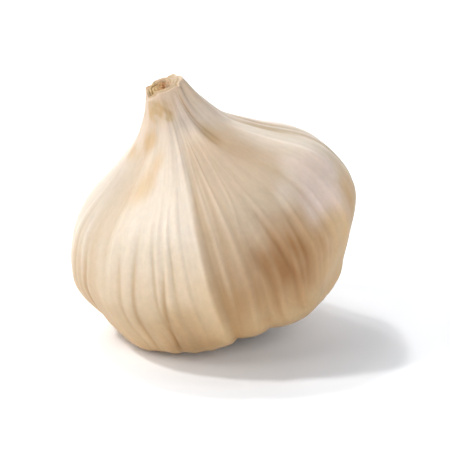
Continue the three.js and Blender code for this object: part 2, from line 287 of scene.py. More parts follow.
def rib_relief(angle, height):
    """Ribs and furrows, and between them finer threads that start and stop."""
    total = np.zeros(np.broadcast(angle, height).shape)
    # Towards the neck, where they crowd together, they are lower.
    lower = np.clip(section_at(height)[..., 0] / 26, 0.2, 1)
    for k, (at, drift, tall, left, right, begins, ends) in enumerate(ribs()):
        wander = 0.35 * np.sin(2 * math.pi * (1.6 * height + float(draw(k + 400))))
        uneven = 0.85 + 0.25 * np.sin(2 * math.pi * (2.3 * height + float(draw(k + 450))))
        off = turn(angle, at + drift * (height - 0.5) + wander)
        across = np.exp(-(np.where(off < 0, off / left, off / right) ** 2))
        along = smooth(begins - 0.08, begins + 0.08, height)
        along = along * (1 - smooth(ends - 0.08, ends + 0.08, height))
        total += tall * across * along * uneven * lower
    # The right flank is smoother above its middle.
    smoother = np.exp(-((turn(angle, 62) / 34) ** 4)) * smooth(0.5, 0.62, height)
    for k in range(THREADS):
        at = 360 * (k + 0.9 * float(draw(k + 500))) / THREADS
        wander = 0.5 * np.sin(2 * math.pi * (1.7 * height + float(draw(k + 700))))
        off = turn(angle, at + wander)
        starts, lasts = 0.8 * float(draw(k + 800)) - 0.15, 0.15 + 0.45 * float(draw(k + 850))
        ends = starts + lasts
        along = smooth(starts, starts + 0.1, height) * (1 - smooth(ends, ends + 0.1, height))
        wide = 0.55 + 0.5 * float(draw(k + 870))
        tall = THREAD_HEIGHT * (float(draw(k + 900)) - 0.4)
        total += tall * np.exp(-((off / wide) ** 2)) * along * (1 - 0.75 * smoother)
    return total


def skin_lift(angle, height):
    """How far the skin stands off its mean section, along that section's normal."""
    lift = rib_relief(angle, height) + main_ridge(angle, height)
    pleat = np.cos(np.radians(7 * angle + 60)) + 0.6 * np.cos(np.radians(11 * angle + 200))
    lift += PLEAT_HEIGHT * pleat * smooth(PLEATS_FROM, 0.92, height)
    for crease in CREASES:
        lift -= crease_depth(crease, angle, height)
    for crease in FINE_CREASES:
        lift -= crease_depth(crease, angle, height, FINE_FADE)
    for at, middle, by, half_width, half_height in BULGES:
        x = turn(angle, at) / half_width
        y = (height - middle) / half_height
        lift += by * np.clip(1 - x * x - y * y, 0, None) ** 1.5
    dents = 0.11 * waves(angle, height, 1000, 14, 12, 2.0)
    wrinkles = 0.022 * waves(angle, height, 2000, 24, 46, 2.5)
    lift += (dents + wrinkles - 0.1) * smooth(0, 0.1, height) * (1 - smooth(0.9, 1, height))
    return lift


def skin_point(angle, height):
    """Points of the skin in the upright bulb's frame, in millimetres."""
    mean = section_at(height)
    step = 1e-4
    along = section_at(np.clip(height + step, 0, 1)) - section_at(np.clip(height - step, 0, 1))
    along = along / np.linalg.norm(along, axis=-1, keepdims=True)
    lift = skin_lift(angle, height)
    around = np.radians(angle + TWIST * (height - 0.5))
    swell = SWELL_BY * np.cos(2 * (around - math.radians(SWELL_AT))) * np.sin(math.pi * height)
    radius = mean[..., 0] + along[..., 1] * lift + swell
    off = turn(angle, EAR_AT)
    ear = np.where(np.abs(off) < EAR_SPREAD, np.cos(np.radians(off * 90 / EAR_SPREAD)), 0)
    tall = mean[..., 1] - along[..., 0] * lift + EAR_HEIGHT * ear * smooth(0.9, 1, height)
    return np.stack([radius * np.sin(around), -radius * np.cos(around), tall], axis=-1)


# ------------------------------------------------------------------ placing on the table

lean_swing = math.radians(LEAN_SWING)
lean_direction = Vector((-math.cos(lean_swing), math.sin(lean_swing), 0))
lean_axis = Vector((0, 0, 1)).cross(lean_direction)
LYING = Matrix.Translation(ROOT_AT) @ Matrix.Rotation(math.radians(LEAN), 4, lean_axis)


def lay_down(points):
    """Points of the upright bulb, moved to where the bulb lies and kept above the table."""
    rotation = np.array(LYING.to_3x3())
    placed = points @ rotation.T + np.array(LYING.translation)
    placed[..., 2] = np.maximum(placed[..., 2], 0)
    return placed


# ------------------------------------------------------------------ modelling helpers


def only(piece):
    """Leaves one object selected and active."""
    bpy.ops.object.select_all(action="DESELECT")
    piece.select_set(True)
    bpy.context.view_layer.objects.active = piece


def spun(name, line, steps, halvings=0):
    """A body spun round the Z axis from an open line of (distance, height), in millimetres.

    Each vertex keeps its place on the line, counted in points, in the attribute "ring". Every
    halving then splits each edge in two, both ways.
    """
    curve = bpy.data.curves.new(name, "CURVE")
    curve.dimensions = "3D"
    spline = curve.splines.new("POLY")
    spline.points.add(len(line) - 1)
    for point, (distance, height) in zip(spline.points, line):
        point.co = (0, -distance * MM, height * MM, 1)
    piece = bpy.data.objects.new(name, curve)
    bpy.context.collection.objects.link(piece)
    only(piece)
    bpy.ops.object.convert(target="MESH")
    piece = bpy.context.object
    ring = piece.data.attributes.new("ring", "FLOAT", "POINT")
    ring.data.foreach_set("value", np.arange(len(line), dtype=np.float32))
    bpy.ops.object.mode_set(mode="EDIT")
    bpy.ops.mesh.select_all(action="SELECT")
    bpy.ops.mesh.spin(steps=steps, angle=2 * math.pi, center=(0, 0, 0), axis=(0, 0, 1))
    bpy.ops.mesh.select_all(action="SELECT")
    bpy.ops.mesh.remove_doubles(threshold=1e-7)
    bpy.ops.mesh.normals_make_consistent(inside=False)
    bpy.ops.object.mode_set(mode="OBJECT")
    if halvings:
        finer = piece.modifiers.new("finer", "SUBSURF")
        finer.subdivision_type = "SIMPLE"
        finer.levels = halvings
        bpy.ops.object.modifier_apply(modifier=finer.name)
    return piece


def vertices_of(mesh):
    flat = np.empty(len(mesh.vertices) * 3, dtype=np.float32)
    mesh.vertices.foreach_get("co", flat)
    return flat.reshape(-1, 3).astype(float)


def ring_of(mesh):
    """Reads each vertex's place on the spun line, and drops the attribute."""
    ring = np.empty(len(mesh.vertices), dtype=np.float32)
    mesh.attributes["ring"].data.foreach_get("value", ring)
    mesh.attributes.remove(mesh.attributes["ring"])
    return ring.astype(float)


def angle_of(points):
    return np.degrees(np.arctan2(points[:, 0], -points[:, 1]))


def move_vertices(mesh, points):
    mesh.vertices.foreach_set("co", np.asarray(points, dtype=np.float32).ravel())
    mesh.update()


def keep(mesh, name, values):
    """Keeps a number or a vector for each vertex in a named attribute."""
    values = np.asarray(values, dtype=np.float32)
    vector = values.ndim == 2
    made = mesh.attributes.new(name, "FLOAT_VECTOR" if vector else "FLOAT", "POINT")
    made.data.foreach_set("vector" if vector else "value", values.ravel())


# ------------------------------------------------------------------ the skin

# Steps of the skin's line across the socket, up the skin and over the rim's edge; then the steps
# that it is spun in, and how often each is halved.
SOCKET_STEPS, SKIN_STEPS, CREST_STEPS = 2, 28, 3
SKIN_TURN_STEPS, SKIN_HALVINGS = 170, 2
ON_LINE = 1e-3  # slack when a vertex's place on the line is compared
# The wall of the neck is a few leaves thick: grooves between them run round its cut edge, at
# shares of the way in.
EDGE_GROOVES, GROOVE_WIDTH, GROOVE_DEPTH = (0.3, 0.66), 0.09, 0.16
# The skin's patterns are laid out on a drum of about the bulb's girth and the skin's length.
DRUM_RADIUS, DRUM_LENGTH = 28, 76
# Where the cut rim dips: angle, width in degrees and depth.
RIM_DIPS = [(160, 9, 0.3), (52, 7, 0.3), (-58, 27, 1.0), (-62, 8, 0.12)]


def mouth_point(angle, radius, height):
    around = np.radians(angle)
    right = MOUTH_RIGHT + radius * np.sin(around)
    back = MOUTH_BACK - radius * np.cos(around)
    return np.stack([right, back, np.broadcast_to(height, angle.shape)], axis=-1)


def rim_notch(angle):
    """How far the cut rim dips where its leaves part, in millimetres."""
    dips = sum(depth * np.exp(-((turn(angle, at) / width) ** 2)) for at, width, depth in RIM_DIPS)
    return dips + 0.07 * waves(angle, 0, 3000, 8, 7, 0)


def patch(angle, height, at, middle, half_width, half_height, seed, slant=0.0):
    """Strength from 0 to 1 of a soft patch with an uneven edge; slant is in degrees a height."""
    x = turn(angle, at + slant * (height - middle)) / half_width
    y = (height - middle) / half_height
    return smooth(1.5, 0.3, np.hypot(x, y) + 0.22 * waves(angle, height, seed, 10, 26, 9.0))


def skin_tints(angle, height, relief):
    """How strongly each of the skin's tints shows at each place; some carry painted light and
    shade as well.
    """
    off = turn(angle, RIDGE_AT)
    tan_ends = 46 + 30 * smooth(0.56, 0.66, height) + 4 * waves(angle * 0, height, 6100, 6, 1, 6.0)
    begins = 12 * smooth(0.58, 0.78, height)
    ended = smooth(tan_ends - 12, tan_ends + 12, turn(angle, 0))
    # Right of the front ridge the leaf is its own light brown, darkened further as painted shade
    # where that flank turns from the light; the patch low on the left is painted shade at the foot
    # as well.
    tan_and_shade = smooth(-0.6, 1.8 + begins, off) * (1 - ended)
    tan_and_shade = tan_and_shade * (1 - smooth(0.76, 0.86, height)) * smooth(0.24, 0.37, height)
    tan_and_shade += 0.9 * patch(angle, height, -20, 0.29, 13, 0.10, 6120, 20)
    tan_and_shade += 0.35 * patch(angle, height, 62, 0.60, 20, 0.10, 6140)

    crest = np.clip(relief / 0.2, 0, 1)
    blotch = 0.92 + 0.12 * waves(angle, height, 6200, 12, 40, 12.0)
    streak = 0.94 + 0.12 * waves(angle, height, 6250, 10, 120, 2.5)
    stain = patch(angle, height, 37, 0.405, 18, 0.10, 6300, -30) * blotch * streak
    stain = stain * (1 - 0.3 * crest)
    stain = np.maximum(stain, 0.4 * patch(angle, height, 52, 0.48, 18, 0.09, 6350) * blotch)
    stain = np.maximum(stain, 0.3 * patch(angle, height, 22, 0.40, 12, 0.10, 6370) * blotch)

    # Golden: a broken streak down the left shoulder, the foot of the neck and low on the right.
    golden = 0.9 * patch(angle, height, -48, 0.83, 11, 0.03, 6400)
    golden += 0.8 * patch(angle, height, -32, 0.76, 7, 0.04, 6430, 60)
    golden += 0.9 * patch(angle, height, -39, 0.70, 9, 0.04, 6450, 60)
    golden += 0.8 * patch(angle, height, -71, 0.79, 10, 0.025, 6470)
    golden += 0.4 * patch(angle, height, 0, 0.925, 24, 0.035, 6480)
    golden += 0.6 * patch(angle, height, 68, 0.40, 32, 0.11, 6500)

    # Olive: smears round the neck. The patch in the hollow at the neck's foot, on the right, and
    # the one in the fold down the right shoulder are painted shade with the same tint.
    olive_and_shade = 0.65 * patch(angle, height, 51, 0.80, 11, 0.035, 6600)
    smear = 0.95 + 0.5 * waves(angle, height, 6620, 16, 18, 34.0)
    olive_and_shade += 1.1 * smear * patch(angle, height, -30, 0.93, 26, 0.04, 6650)
    olive_and_shade += 0.9 * smear * patch(angle, height, -6, 0.90, 12, 0.02, 6700)
    olive_and_shade += 0.7 * patch(angle, height, 98, 0.68, 7, 0.06, 6750, 30)

    # A blush of pink on the right clove and the neck.
    rose = 0.9 * patch(angle, height, 70, 0.53, 17, 0.09, 6800)
    rose += 0.4 * patch(angle, height, 38, 0.90, 26, 0.07, 6950)
    tints = {"tan_and_shade": tan_and_shade, "stain": stain, "golden": golden, "olive_and_shade": olive_and_shade, "rose": rose}
    tints = {name: np.clip(strength, 0, 1) for name, strength in tints.items()}
    # Paler and duller places from the table: partly the leaf's own tone, partly painted light and
    # shade.
    tints["pale"] = np.ones_like(height)
    for at, middle, half_width, half_height, by in TONE_AND_PAINTED_LIGHT:
        x, y = turn(angle, at) / half_width, (height - middle) / half_height
        tints["pale"] += by * np.exp(-(x * x + y * y))
    return tints


def make_skin():
    edge = SECTION[0]
    rim = SECTION[-1]
    socket_top = edge[1] + SOCKET_DEPTH
    # The line runs from the middle of the socket, out and down to the plate's edge, up the
    # skin, over the rim's edge and down the mouth.
    line = [(0, socket_top), (edge[0] - 0.05, socket_top)]
    line += [tuple(section_at(np.array(k / SKIN_STEPS))) for k in range(SKIN_STEPS + 1)]
    inwards = rim[0] - MOUTH_RADIUS
    line += [(rim[0] - inwards * k / CREST_STEPS, rim[1] + 0.2) for k in range(1, CREST_STEPS + 1)]
    line += [(MOUTH_RADIUS - MOUTH_TAPER, rim[1] - MOUTH_DEPTH), (0, rim[1] - MOUTH_DEPTH)]
    piece = spun("papery_skin", line, SKIN_TURN_STEPS, SKIN_HALVINGS)

    mesh = piece.data
    upright = vertices_of(mesh) / MM
    ring = ring_of(mesh)
    angle = angle_of(upright)
    top = SOCKET_STEPS + SKIN_STEPS
    height = np.clip((ring - SOCKET_STEPS) / SKIN_STEPS, 0, 1)
    on_skin = (ring >= SOCKET_STEPS - ON_LINE) & (ring <= top + ON_LINE)
    upright[on_skin] = skin_point(angle[on_skin], height[on_skin])

    # The cut edge of the neck: the outer leaf ends a little lower than the ones inside it.
    notch = rim_notch(angle)
    rim_point = skin_point(angle, np.ones_like(angle))
    mouth_edge = mouth_point(angle, MOUTH_RADIUS, rim_point[:, 2])
    thickness = np.clip(np.linalg.norm(rim_point - mouth_edge, axis=1), 0, 2)
    share = np.clip((ring - top) / CREST_STEPS, 0, 1)
    crest = rim_point * (1 - share)[:, None] + mouth_edge * share[:, None]
    rounding = np.sqrt(np.clip(1 - (2 * share - 1) ** 2, 0, 1))
    grooves = sum(np.exp(-(((share - at) / GROOVE_WIDTH) ** 2)) for at in EDGE_GROOVES)
    ragged = 0.05 * waves(angle, share, 3100, 10, 12, 0.5) * rounding
    crest[:, 2] += EDGE_RISE * thickness * rounding - GROOVE_DEPTH * thickness * grooves + ragged
    on_crest = (ring > top + ON_LINE) & (ring <= top + CREST_STEPS + ON_LINE)
    upright[on_crest] = crest[on_crest]

    # The mouth's wall and floor.
    floor_height = rim[1] - MOUTH_DEPTH
    down = np.clip(ring - top - CREST_STEPS, 0, 1)
    wall = mouth_point(angle, MOUTH_RADIUS - MOUTH_TAPER * down, rim_point[:, 2])
    wall[:, 2] = rim_point[:, 2] * (1 - down) + floor_height * down
    on_wall = (down > ON_LINE) & (ring <= top + CREST_STEPS + 1 + ON_LINE)
    upright[on_wall] = wall[on_wall]
    inner = np.clip(top + CREST_STEPS + 2 - ring, 0, 1)
    floor = mouth_point(angle, (MOUTH_RADIUS - MOUTH_TAPER) * inner, floor_height)
    on_floor = ring > top + CREST_STEPS + 1 + ON_LINE
    upright[on_floor] = floor[on_floor]
    upright[:, 2] -= notch * smooth(0.965, 1, height) * np.clip(1 - down, 0, 1)

    move_vertices(mesh, lay_down(upright) * MM)

    # What the material follows: place round and up the bulb in metres, height, and relief.
    around = np.radians(angle)
    reach, length = DRUM_RADIUS * MM, DRUM_LENGTH * MM
    flow = np.stack([reach * np.sin(around), -reach * np.cos(around), length * height], axis=-1)
    keep(mesh, "flow", flow)
    keep(mesh, "height", height)
    # On the thin left side of the rim the dried edge shows from further out.
    thin = 0.15 * np.exp(-((turn(angle, -75) / 55) ** 2))
    into = np.clip((ring - top) / CREST_STEPS, 0, 2)
    keep(mesh, "mouth", into + thin * smooth(0, 0.4, into))
    # From the relief the material paints shade into furrows and creases and light onto crests.
    relief = rib_relief(angle, height) + 0.5 * main_ridge(angle, height)
    for crease in CREASES:
        relief = relief - 0.3 * crease_depth(crease, angle, height)
    for crease in FINE_CREASES:
        relief = relief - 0.6 * crease_depth(crease, angle, height, FINE_FADE)
    keep(mesh, "relief", relief)
    for name, strength in skin_tints(angle, height, relief).items():
        keep(mesh, name, strength)
    only(piece)
    bpy.ops.object.shade_smooth()
    return piece


# ------------------------------------------------------------------ the roll in the neck

LEAF_TURNS = 3.3
LEAF_RINGS, LEAF_TURN_STEPS = 36, 110
LEAF_RADIUS, LEAF_FOOT_RADIUS = 2.34, 2.08
LEAF_TOP, LEAF_FOOT = 55.25, 52.6
HEART_RIGHT, HEART_BACK, HEART_RADIUS, HEART_DEPTH = 0.55, 0.2, 0.62, 1.2


def leaf_layers(x, y):
    """Where a point lies between the roll's outside, 0, and the edge of its heart, 1.

    The layers are circles that shift from the mouth's middle towards the heart as they shrink.
    """
    shrink = LEAF_RADIUS - HEART_RADIUS
    a = HEART_RIGHT**2 + HEART_BACK**2 - shrink**2
    b = 2 * (shrink * LEAF_RADIUS - x * HEART_RIGHT - y * HEART_BACK)
    c = x * x + y * y - LEAF_RADIUS**2
    return (-b + np.sqrt(np.maximum(b * b - 4 * a * c, 0))) / (2 * a)


def make_neck_leaves():
    """Dried inner leaves, rolled tight in the neck, cut across and sunk round their heart."""
    line = [(LEAF_RADIUS * k / LEAF_RINGS, LEAF_TOP) for k in range(LEAF_RINGS + 1)]
    line += [(LEAF_FOOT_RADIUS, LEAF_FOOT), (0, LEAF_FOOT)]
    piece = spun("neck_leaves", line, LEAF_TURN_STEPS, 1)
    mesh = piece.data
    co = vertices_of(mesh) / MM
    top = ring_of(mesh) <= LEAF_RINGS + ON_LINE
    x, y = co[:, 0], co[:, 1]
    share = leaf_layers(x, y)
    middle_x, middle_y = HEART_RIGHT * share, HEART_BACK * share
    around = np.degrees(np.arctan2(x - middle_x, -(y - middle_y)))
    layer = 0.5 + LEAF_TURNS * share + around / 360 + 0.10 * waves(around, share, 4000, 8, 7, 1.5)
    inside = layer - np.floor(layer)
    along = np.floor(layer) - around / 360

    # Each leaf's edge stands a little higher or lower as it goes round, with a gap beside it. The
    # cut dips towards the heart, and rises beyond it on the right.
    gap = np.exp(-((np.minimum(inside, 1 - inside) / 0.12) ** 2)) * smooth(0.04, 0.2, share)
    edge = 0.12 * np.sin(2 * math.pi * 0.71 * along) + 0.06 * np.sin(2 * math.pi * 1.9 * along + 1)
    ragged = 0.12 * waves(around, share, 4100, 12, 22, 3.0)
    dip = 0.5 * smooth(-1.8, 0.2, x) - 0.85 * smooth(0.75, 1.6, x) - 0.2 * smooth(0.4, 2.0, y)
    # Beside the neck's wall it follows the rim up and down.
    dip += rim_notch(angle_of(co)) * smooth(0.3, 1, np.hypot(x, y) / LEAF_RADIUS)
    in_heart = smooth(0.94, 1.4, share)
    drop = dip - (edge + ragged) * (1 - in_heart) + 0.2 * gap * (1 - in_heart)
    drop = drop + HEART_DEPTH * in_heart
    co[top, 2] -= drop[top]
    keep(mesh, "across", x)
    # Darker in the gaps between leaves and in the heart: painted shade in the gaps, the heart's
    # own red-brown.
    keep(mesh, "deep", np.clip(0.35 * gap * (1 - in_heart) + in_heart, 0, 1))
    co[:, 0] += MOUTH_RIGHT
    co[:, 1] += MOUTH_BACK
    move_vertices(mesh, lay_down(co) * MM)
    only(piece)
    bpy.ops.object.shade_smooth()
    return piece


# ------------------------------------------------------------------ the root plate

PLATE_RADIUS, PLATE_TOP, PLATE_RIM, PLATE_MIDDLE = 7.75, 3.75, 1.9, 1.0
PLATE_POINTS, PLATE_TURN_STEPS = 14, 72
ROOT_COUNT = 190
GOLDEN_TURN = 137.508  # degrees from root to root: it spreads them evenly over the plate
ROOT_THICK, ROOT_TIP = 0.36, 0.2
ROOT_SHORTEST, ROOT_LONGEST = 2.0, 4.0
ROOT_SPLAY = 0.42
ROOT_SUNK = 0.9
ROOT_SIDES, ROOT_STEPS = 7, 6
TABLE_GAP = 0.02


def make_root_disc():
    """The corky plate that the roots grow from: low rings round a blunt middle."""
    line = []
    for k in range(PLATE_POINTS):
        share = k / (PLATE_POINTS - 1)
        under = PLATE_MIDDLE + (PLATE_RIM - PLATE_MIDDLE) * share**2
        line.append((PLATE_RADIUS * 0.96 * share, under + 0.12 * math.cos(5 * math.pi * share)))
    line += [(PLATE_RADIUS, PLATE_RIM + 0.5), (PLATE_RADIUS, PLATE_TOP), (0, PLATE_TOP)]
    piece = spun("root_disc", line, PLATE_TURN_STEPS, 1)
    mesh = piece.data
    co = vertices_of(mesh) / MM
    ring = ring_of(mesh)
    angle = angle_of(co)
    out = np.hypot(co[:, 0], co[:, 1])
    under = ring < PLATE_POINTS
    bumps = 0.10 * waves(angle, out / 6, 5000, 16, 22, 2.5) * smooth(0.3, 2, out)
    co[under, 2] += bumps[under]
    move_vertices(mesh, lay_down(co) * MM)
    only(piece)
    bpy.ops.object.shade_smooth()
    return piece


def make_root_template():
    """One root as a straight stick along -Z, from 0 down to -1, in metres; shaped by place."""
    bpy.ops.object.select_all(action="DESELECT")
    bpy.ops.mesh.primitive_circle_add(vertices=ROOT_SIDES, radius=1, fill_type="NGON")
    piece = bpy.context.object
    bpy.ops.object.mode_set(mode="EDIT")
    bpy.ops.mesh.select_all(action="SELECT")
    for _ in range(ROOT_STEPS):
        bpy.ops.mesh.extrude_region_move(TRANSFORM_OT_translate={"value": (0, 0, -1 / ROOT_STEPS)})
    bpy.ops.mesh.select_all(action="SELECT")
    bpy.ops.mesh.normals_make_consistent(inside=False)
    bpy.ops.object.mode_set(mode="OBJECT")
    return piece


def make_root_stubs():
    """Dry roots trimmed short, each a bent and shrunken copy of one."""
    template = make_root_template()
    straight = vertices_of(template.data)
    down = -straight[:, 2]
    stubs = []
    for k in range(ROOT_COUNT):
        share = (k + 2.5) / (ROOT_COUNT + 2.5)
        reach = (PLATE_RADIUS - 0.6) * math.sqrt(share)
        angle = math.radians(GOLDEN_TURN * k)
        out = np.array([math.sin(angle), -math.cos(angle), 0])
        side = np.array([math.cos(angle), math.sin(angle), 0])
        under = PLATE_MIDDLE + (PLATE_RIM - PLATE_MIDDLE) * share
        start = out * reach + np.array([0, 0, under + ROOT_SUNK])
        splay = ROOT_SPLAY * share + 0.3 * (float(draw(k + 200)) - 0.5)
        heading = out * splay + side * 0.35 * (float(draw(k + 210)) - 0.5) + np.array([0, 0, -1])
        heading /= np.linalg.norm(heading)
        grown = ROOT_SHORTEST + (ROOT_LONGEST - ROOT_SHORTEST) * float(draw(k + 300))
        length = ROOT_SUNK + grown
        # It bows to one side and wriggles a little.
        bow_angle = 2 * math.pi * float(draw(k + 310))
        bow = (out * math.cos(bow_angle) + side * math.sin(bow_angle)) * 0.5 * float(draw(k + 320))
        thick = ROOT_THICK * (0.75 + 0.5 * float(draw(k + 330)))
        tip = ROOT_TIP * (0.7 + 0.8 * float(draw(k + 340)))
        radius = thick + (tip - thick) * down
        radius = radius * (1 + 0.13 * np.sin(19 * down + 6 * float(draw(k + 350))))
        wriggle = 0.10 * np.sin(9 * down + 6 * float(draw(k + 360)))
        centre = start + np.outer(down * length, heading) + np.outer(down**2, bow)
        centre = centre + np.outer(wriggle, side)
        ring_x, ring_y = straight[:, 0] * radius, straight[:, 1] * radius
        points = centre + np.outer(ring_x, out) + np.outer(ring_y, side)
        stub = bpy.data.objects.new("root_stub", template.data.copy())
        bpy.context.collection.objects.link(stub)
        placed = lay_down(points)
        placed[:, 2] = np.maximum(placed[:, 2], TABLE_GAP)
        keep(stub.data, "down", down)
        keep(stub.data, "tone", np.full(len(down), float(draw(k + 370))))
        move_vertices(stub.data, placed * MM)
        stubs.append(stub)
    bpy.data.objects.remove(template)
    bpy.ops.object.select_all(action="DESELECT")
    for stub in stubs:
        stub.select_set(True)
    bpy.context.view_layer.objects.active = stubs[0]
    bpy.ops.object.join()
    piece = bpy.context.object
    piece.name = "root_stubs"
    bpy.ops.object.shade_smooth()
    return piece


# ------------------------------------------------------------------ materials


def linear(code):
    """An sRGB hex colour, as the linear colour that Blender's sockets take."""
    parts = [int(code[k : k + 2], 16) / 255 for k in (1, 3, 5)]
    return tuple(c / 12.92 if c <= 0.04045 else ((c + 0.055) / 1.055) ** 2.4 for c in parts) + (1,)


def node(tree, kind, inputs=None, **settings):
    """Adds a node. inputs gives sockets, by name or number, a value or another node's output."""
    made = tree.nodes.new(kind)
    for name, value in settings.items():
        setattr(made, name, value)
    for key, value in (inputs or {}).items():
        if isinstance(value, bpy.types.NodeSocket):
            tree.links.new(value, made.inputs[key])
        else:
            made.inputs[key].default_value = value
    return made


def material(name):
    made = bpy.data.materials.new(name)
    made.use_nodes = True
    made.node_tree.nodes.clear()
    return made, made.node_tree


# Sockets of a Mix node set to colour.
FACTOR, A, B, RESULT = 0, 6, 7, 2


def papery_skin():
    """Dry outer leaf of a bulb, a cured paper: satin sheen, fibres from root to neck."""
    made, tree = material("dry_bulb_leaf")
    seen = {}
    for name in ("height", "relief", "mouth", "tan_and_shade", "stain", "golden", "olive_and_shade", "rose", "pale"):
        seen[name] = node(tree, "ShaderNodeAttribute", attribute_name=name).outputs["Fac"]
    flow = node(tree, "ShaderNodeAttribute", attribute_name="flow").outputs["Vector"]

    # Clouding, a few millimetres across, that shifts where the cream gives way to ochre.
    cloud = node(
        tree,
        "ShaderNodeTexNoise",
        {"Vector": flow, "Scale": 1 / (7 * MM), "Detail": 3.0, "Roughness": 0.55},
    )
    shifted = node(
        tree,
        "ShaderNodeMath",
        {0: cloud.outputs["Fac"], 1: 0.12, 2: seen["height"]},
        operation="MULTIPLY_ADD",
    )
    ramp = node(tree, "ShaderNodeValToRGB", {"Fac": shifted.outputs["Value"]})
    stops = [
        (0.10, "#B39874"),
        (0.31, "#C9A87D"),
        (0.43, "#C5AA86"),
        (0.66, "#D6C7B4"),
        (0.88, "#D7C5B1"),
        (1.00, "#C8B198"),
    ]
    elements = ramp.color_ramp.elements
    elements[0].position, elements[0].color = stops[0][0], linear(stops[0][1])
    elements[1].position, elements[1].color = stops[-1][0], linear(stops[-1][1])
    for position, code in stops[1:-1]:
        elements.new(position).color = linear(code)
    colour = ramp.outputs["Color"]

    # Tints that lie over it, each a filter on the paper's own colour.
    for name, tint in [
        # The leaf's own light brown, with painted shade where its flank turns from the light.
        ("tan_and_shade", (0.79, 0.715, 0.63, 1)),
        ("golden", (0.93, 0.80, 0.60, 1)),
        # Olive smears, and painted shade in the hollow at the neck's foot and in the right
        # shoulder's fold.
        ("olive_and_shade", (0.82, 0.74, 0.56, 1)),
        ("stain", (0.66, 0.47, 0.29, 1)),
    ]:
        filtered = node(
            tree,
            "ShaderNodeMix",
            {FACTOR: seen[name], A: colour, B: tint},
            data_type="RGBA",
            blend_type="MULTIPLY",
        )
        colour = filtered.outputs[RESULT]
    rosy = node(
        tree,
        "ShaderNodeMix",
        {FACTOR: seen["rose"], A: colour, B: linear("#D8C2B4")},
        data_type="RGBA",
    )
    colour = rosy.outputs[RESULT]
    # The cut rim is ochre, and the mouth's wall below it brown.
    for begins, ends, code in [(0.03, 0.3, "#B29A7A"), (1.0, 1.9, "#A88258")]:
        inside = node(
            tree,
            "ShaderNodeMapRange",
            {"Value": seen["mouth"], "From Min": begins, "From Max": ends},
        )
        cut = node(
            tree,
            "ShaderNodeMix",
            {FACTOR: inside.outputs["Result"], A: colour, B: linear(code)},
            data_type="RGBA",
        )
        colour = cut.outputs[RESULT]

    # Fibres run from root to neck: a noise squeezed round the bulb and drawn out along it.
    fibres = node(tree, "ShaderNodeMapping", {"Vector": flow, "Scale": (1, 1, 0.05)})
    fibre = node(
        tree,
        "ShaderNodeTexNoise",
        {
            "Vector": fibres.outputs["Vector"],
            "Scale": 1 / (0.9 * MM),
            "Detail": 3.0,
            "Roughness": 0.6,
        },
    )
    fibre_shade = node(
        tree,
        "ShaderNodeMapRange",
        {
            "Value": fibre.outputs["Fac"],
            "From Min": 0.3,
            "From Max": 0.7,
            "To Min": 0.97,
            "To Max": 1.02,
        },
    )
    # Crests are lighter: the paler paper of the veins, and painted light on them.
    crest_shade = node(
        tree,
        "ShaderNodeMapRange",
        {"Value": seen["relief"], "From Min": 0.0, "From Max": 0.25, "To Min": 1.0, "To Max": 1.1},
    )
    shade = node(
        tree,
        "ShaderNodeMath",
        {0: fibre_shade.outputs["Result"], 1: crest_shade.outputs["Result"]},
        operation="MULTIPLY",
    )
    # Paler and duller places: partly the leaf's own tone, partly painted light and shade.
    shade = node(
        tree, "ShaderNodeMath", {0: shade.outputs["Value"], 1: seen["pale"]}, operation="MULTIPLY"
    )
    # The paper is faintly mottled, finer than the clouding.
    mottle = node(
        tree,
        "ShaderNodeTexNoise",
        {"Vector": flow, "Scale": 1 / (1.3 * MM), "Detail": 4.0, "Roughness": 0.65},
    )
    mottle_shade = node(
        tree,
        "ShaderNodeMapRange",
        {
            "Value": mottle.outputs["Fac"],
            "From Min": 0.3,
            "From Max": 0.7,
            "To Min": 0.95,
            "To Max": 1.04,
        },
    )
    shade = node(
        tree,
        "ShaderNodeMath",
        {0: shade.outputs["Value"], 1: mottle_shade.outputs["Result"]},
        operation="MULTIPLY",
    )
    # Furrows and creases are darker and browner: painted shade in them, with the paper's own
    # browner tone.
    furrow = node(
        tree,
        "ShaderNodeMapRange",
        {"Value": seen["relief"], "From Min": 0.0, "From Max": -0.3, "To Min": 0.0, "To Max": 1.0},
    )
    browned_and_shaded = node(
        tree,
        "ShaderNodeMix",
        {FACTOR: furrow.outputs["Result"], A: colour, B: (0.80, 0.70, 0.56, 1)},
        data_type="RGBA",
        blend_type="MULTIPLY",
    )
    shaded = node(
        tree,
        "ShaderNodeVectorMath",
        {0: browned_and_shaded.outputs[RESULT], 1: shade.outputs["Value"]},
        operation="MULTIPLY",
    )
    colour = shaded.outputs["Vector"]

    bump = node(
        tree,
        "ShaderNodeBump",
        {"Height": fibre.outputs["Fac"], "Strength": 0.15, "Distance": 0.15 * MM},
    )
    shader = node(
        tree,
        "ShaderNodeBsdfPrincipled",
        {
            "Base Color": colour,
            "Roughness": 0.5,
            "IOR": 1.45,
            "Specular IOR Level": 0.35,
            "Subsurface Weight": 0.12,
            "Subsurface Scale": 0.002,
            "Normal": bump.outputs["Normal"],
        },
    )
    node(tree, "ShaderNodeOutputMaterial", {"Surface": shader.outputs["BSDF"]})
    return made


